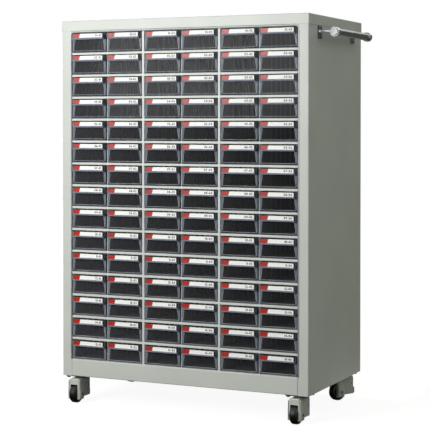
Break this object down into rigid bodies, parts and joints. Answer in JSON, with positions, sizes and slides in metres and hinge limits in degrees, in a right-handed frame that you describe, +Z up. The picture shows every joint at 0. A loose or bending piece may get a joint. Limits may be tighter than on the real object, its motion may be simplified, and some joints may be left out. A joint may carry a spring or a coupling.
{
  "type": "parts bin cabinet",
  "caption": "Mobile steel parts cabinet with rows of clear label-front drawers, a side push handle and braked swivel casters.",
  "frame": {"origin": "on the floor, under the middle of the whole cabinet's box, push handle and front wheels included", "axes": "+Z up, +X to the right as seen from the drawer side, +Y from the drawer fronts to the back"},
  "size_m": [0.7524, 0.4027, 1.009],
  "materials": {
    "body_paint": "fine-textured powder coat, satin",
    "shelf_paint": "powder coat, satin",
    "clear_plastic": "clear moulded polystyrene, gloss",
    "chrome": "polished chrome plate",
    "cap_plastic": "pale moulded plastic",
    "zinc_steel": "zinc plated",
    "caster_paint": "pale grey coated pressed steel",
    "wheel_plastic": "black moulded nylon"
  },
  "bodies": {
    "cabinet": {"side_panel_left": "body_paint", "side_panel_right": "body_paint", "top_cover": "body_paint", "base_tray": "body_paint", "back_panel": "body_paint", "back_screws": "zinc_steel", "inner_walls": "shelf_paint", "bay_partitions": "shelf_paint", "shelves_left": "shelf_paint", "shelves_middle": "shelf_paint", "shelves_right": "shelf_paint", "drawer_guides": "shelf_paint", "handle_brackets": "chrome", "handle_tube": "chrome", "handle_end_caps": "cap_plastic", "handle_screws": "zinc_steel", "caster_plates": "zinc_steel", "caster_bolts": "zinc_steel", "caster_kingpins": "zinc_steel"},
    "drawer_r08_c1": {"drawer_r08_c1": "clear_plastic"},
    "drawer_r08_c2": {"drawer_r08_c2": "clear_plastic"},
    "drawer_r08_c3": {"drawer_r08_c3": "clear_plastic"},
    "drawer_r08_c4": {"drawer_r08_c4": "clear_plastic"},
    "drawer_r08_c5": {"drawer_r08_c5": "clear_plastic"},
    "drawer_r08_c6": {"drawer_r08_c6": "clear_plastic"},
    "drawer_r09_c1": {"drawer_r09_c1": "clear_plastic"},
    "drawer_r09_c2": {"drawer_r09_c2": "clear_plastic"},
    "drawer_r09_c3": {"drawer_r09_c3": "clear_plastic"},
    "drawer_r09_c4": {"drawer_r09_c4": "clear_plastic"},
    "drawer_r09_c5": {"drawer_r09_c5": "clear_plastic"},
    "drawer_r09_c6": {"drawer_r09_c6": "clear_plastic"},
    "drawers_row_01": {"drawers_row_01": "clear_plastic"},
    "drawers_row_02": {"drawers_row_02": "clear_plastic"},
    "drawers_row_03": {"drawers_row_03": "clear_plastic"},
    "drawers_row_04": {"drawers_row_04": "clear_plastic"},
    "drawers_row_05": {"drawers_row_05": "clear_plastic"},
    "drawers_row_06": {"drawers_row_06": "clear_plastic"},
    "drawers_row_07": {"drawers_row_07": "clear_plastic"},
    "drawers_row_10": {"drawers_row_10": "clear_plastic"},
    "drawers_row_11": {"drawers_row_11": "clear_plastic"},
    "drawers_row_12": {"drawers_row_12": "clear_plastic"},
    "drawers_row_13": {"drawers_row_13": "clear_plastic"},
    "drawers_row_14": {"drawers_row_14": "clear_plastic"},
    "drawers_row_15": {"drawers_row_15": "clear_plastic"},
    "caster_front_left": {"caster_fork_front_left": "caster_paint", "caster_axle_front_left": "zinc_steel"},
    "wheel_front_left": {"caster_wheel_front_left": "wheel_plastic"},
    "pedal_front_left": {"brake_pedal_front_left": "caster_paint"},
    "caster_front_right": {"caster_fork_front_right": "caster_paint", "caster_axle_front_right": "zinc_steel"},
    "wheel_front_right": {"caster_wheel_front_right": "wheel_plastic"},
    "pedal_front_right": {"brake_pedal_front_right": "caster_paint"},
    "caster_rear_right": {"caster_fork_rear_right": "caster_paint", "caster_axle_rear_right": "zinc_steel"},
    "wheel_rear_right": {"caster_wheel_rear_right": "wheel_plastic"},
    "pedal_rear_right": {"brake_pedal_rear_right": "caster_paint"},
    "caster_rear_left": {"caster_fork_rear_left": "caster_paint", "caster_axle_rear_left": "zinc_steel"},
    "wheel_rear_left": {"caster_wheel_rear_left": "wheel_plastic"},
    "pedal_rear_left": {"brake_pedal_rear_left": "caster_paint"}
  },
  "joints": [
    {"name": "drawer_r08_c1_slide", "type": "slide", "parent": "cabinet", "child": "drawer_r08_c1", "axis": [0, -1, 0], "range_m": [0, 0.28]},
    {"name": "drawer_r08_c2_slide", "type": "slide", "parent": "cabinet", "child": "drawer_r08_c2", "axis": [0, -1, 0], "range_m": [0, 0.28]},
    {"name": "drawer_r08_c3_slide", "type": "slide", "parent": "cabinet", "child": "drawer_r08_c3", "axis": [0, -1, 0], "range_m": [0, 0.28]},
    {"name": "drawer_r08_c4_slide", "type": "slide", "parent": "cabinet", "child": "drawer_r08_c4", "axis": [0, -1, 0], "range_m": [0, 0.28]},
    {"name": "drawer_r08_c5_slide", "type": "slide", "parent": "cabinet", "child": "drawer_r08_c5", "axis": [0, -1, 0], "range_m": [0, 0.28]},
    {"name": "drawer_r08_c6_slide", "type": "slide", "parent": "cabinet", "child": "drawer_r08_c6", "axis": [0, -1, 0], "range_m": [0, 0.28]},
    {"name": "drawer_r09_c1_slide", "type": "slide", "parent": "cabinet", "child": "drawer_r09_c1", "axis": [0, -1, 0], "range_m": [0, 0.28]},
    {"name": "drawer_r09_c2_slide", "type": "slide", "parent": "cabinet", "child": "drawer_r09_c2", "axis": [0, -1, 0], "range_m": [0, 0.28]},
    {"name": "drawer_r09_c3_slide", "type": "slide", "parent": "cabinet", "child": "drawer_r09_c3", "axis": [0, -1, 0], "range_m": [0, 0.28]},
    {"name": "drawer_r09_c4_slide", "type": "slide", "parent": "cabinet", "child": "drawer_r09_c4", "axis": [0, -1, 0], "range_m": [0, 0.28]},
    {"name": "drawer_r09_c5_slide", "type": "slide", "parent": "cabinet", "child": "drawer_r09_c5", "axis": [0, -1, 0], "range_m": [0, 0.28]},
    {"name": "drawer_r09_c6_slide", "type": "slide", "parent": "cabinet", "child": "drawer_r09_c6", "axis": [0, -1, 0], "range_m": [0, 0.28]},
    {"name": "drawers_row_01_slide", "type": "slide", "parent": "cabinet", "child": "drawers_row_01", "axis": [0, -1, 0], "range_m": [0, 0.28]},
    {"name": "drawers_row_02_slide", "type": "slide", "parent": "cabinet", "child": "drawers_row_02", "axis": [0, -1, 0], "range_m": [0, 0.28]},
    {"name": "drawers_row_03_slide", "type": "slide", "parent": "cabinet", "child": "drawers_row_03", "axis": [0, -1, 0], "range_m": [0, 0.28]},
    {"name": "drawers_row_04_slide", "type": "slide", "parent": "cabinet", "child": "drawers_row_04", "axis": [0, -1, 0], "range_m": [0, 0.28]},
    {"name": "drawers_row_05_slide", "type": "slide", "parent": "cabinet", "child": "drawers_row_05", "axis": [0, -1, 0], "range_m": [0, 0.28]},
    {"name": "drawers_row_06_slide", "type": "slide", "parent": "cabinet", "child": "drawers_row_06", "axis": [0, -1, 0], "range_m": [0, 0.28]},
    {"name": "drawers_row_07_slide", "type": "slide", "parent": "cabinet", "child": "drawers_row_07", "axis": [0, -1, 0], "range_m": [0, 0.28]},
    {"name": "drawers_row_10_slide", "type": "slide", "parent": "cabinet", "child": "drawers_row_10", "axis": [0, -1, 0], "range_m": [0, 0.28]},
    {"name": "drawers_row_11_slide", "type": "slide", "parent": "cabinet", "child": "drawers_row_11", "axis": [0, -1, 0], "range_m": [0, 0.28]},
    {"name": "drawers_row_12_slide", "type": "slide", "parent": "cabinet", "child": "drawers_row_12", "axis": [0, -1, 0], "range_m": [0, 0.28]},
    {"name": "drawers_row_13_slide", "type": "slide", "parent": "cabinet", "child": "drawers_row_13", "axis": [0, -1, 0], "range_m": [0, 0.28]},
    {"name": "drawers_row_14_slide", "type": "slide", "parent": "cabinet", "child": "drawers_row_14", "axis": [0, -1, 0], "range_m": [0, 0.28]},
    {"name": "drawers_row_15_slide", "type": "slide", "parent": "cabinet", "child": "drawers_row_15", "axis": [0, -1, 0], "range_m": [0, 0.28]},
    {"name": "caster_swivel_front_left", "type": "hinge", "parent": "cabinet", "child": "caster_front_left", "pos_m": [-0.34025, -0.153, 0.066], "axis": [0, 0, 1], "continuous": true},
    {"name": "wheel_spin_front_left", "type": "hinge", "parent": "caster_front_left", "child": "wheel_front_left", "pos_m": [-0.34025, -0.177, 0.024], "axis": [1, 0, 0], "continuous": true},
    {"name": "brake_pedal_press_front_left", "type": "hinge", "parent": "caster_front_left", "child": "pedal_front_left", "pos_m": [-0.34025, -0.142, 0.044], "axis": [-1, 0, 0], "range_deg": [0, 6]},
    {"name": "caster_swivel_front_right", "type": "hinge", "parent": "cabinet", "child": "caster_front_right", "pos_m": [0.28775, -0.153, 0.066], "axis": [0, 0, 1], "continuous": true},
    {"name": "wheel_spin_front_right", "type": "hinge", "parent": "caster_front_right", "child": "wheel_front_right", "pos_m": [0.28608, -0.17694, 0.024], "axis": [0.9976, -0.0698, 0], "continuous": true},
    {"name": "brake_pedal_press_front_right", "type": "hinge", "parent": "caster_front_right", "child": "pedal_front_right", "pos_m": [0.28852, -0.14203, 0.044], "axis": [-0.9976, 0.0698, 0], "range_deg": [0, 6]},
    {"name": "caster_swivel_rear_right", "type": "hinge", "parent": "cabinet", "child": "caster_rear_right", "pos_m": [0.28775, 0.165, 0.066], "axis": [0, 0, 1], "continuous": true},
    {"name": "wheel_spin_rear_right", "type": "hinge", "parent": "caster_rear_right", "child": "wheel_rear_right", "pos_m": [0.27648, 0.14381, 0.024], "axis": [0.8829, -0.4695, 0], "continuous": true},
    {"name": "brake_pedal_press_rear_right", "type": "hinge", "parent": "caster_rear_right", "child": "pedal_rear_right", "pos_m": [0.29291, 0.17471, 0.044], "axis": [-0.8829, 0.4695, 0], "range_deg": [0, 6]},
    {"name": "caster_swivel_rear_left", "type": "hinge", "parent": "cabinet", "child": "caster_rear_left", "pos_m": [-0.34025, 0.165, 0.066], "axis": [0, 0, 1], "continuous": true},
    {"name": "wheel_spin_rear_left", "type": "hinge", "parent": "caster_rear_left", "child": "wheel_rear_left", "pos_m": [-0.34606, 0.14171, 0.024], "axis": [0.9703, -0.2419, 0], "continuous": true},
    {"name": "brake_pedal_press_rear_left", "type": "hinge", "parent": "caster_rear_left", "child": "pedal_rear_left", "pos_m": [-0.33759, 0.17567, 0.044], "axis": [-0.9703, 0.2419, 0], "range_deg": [0, 6]}
  ]
}
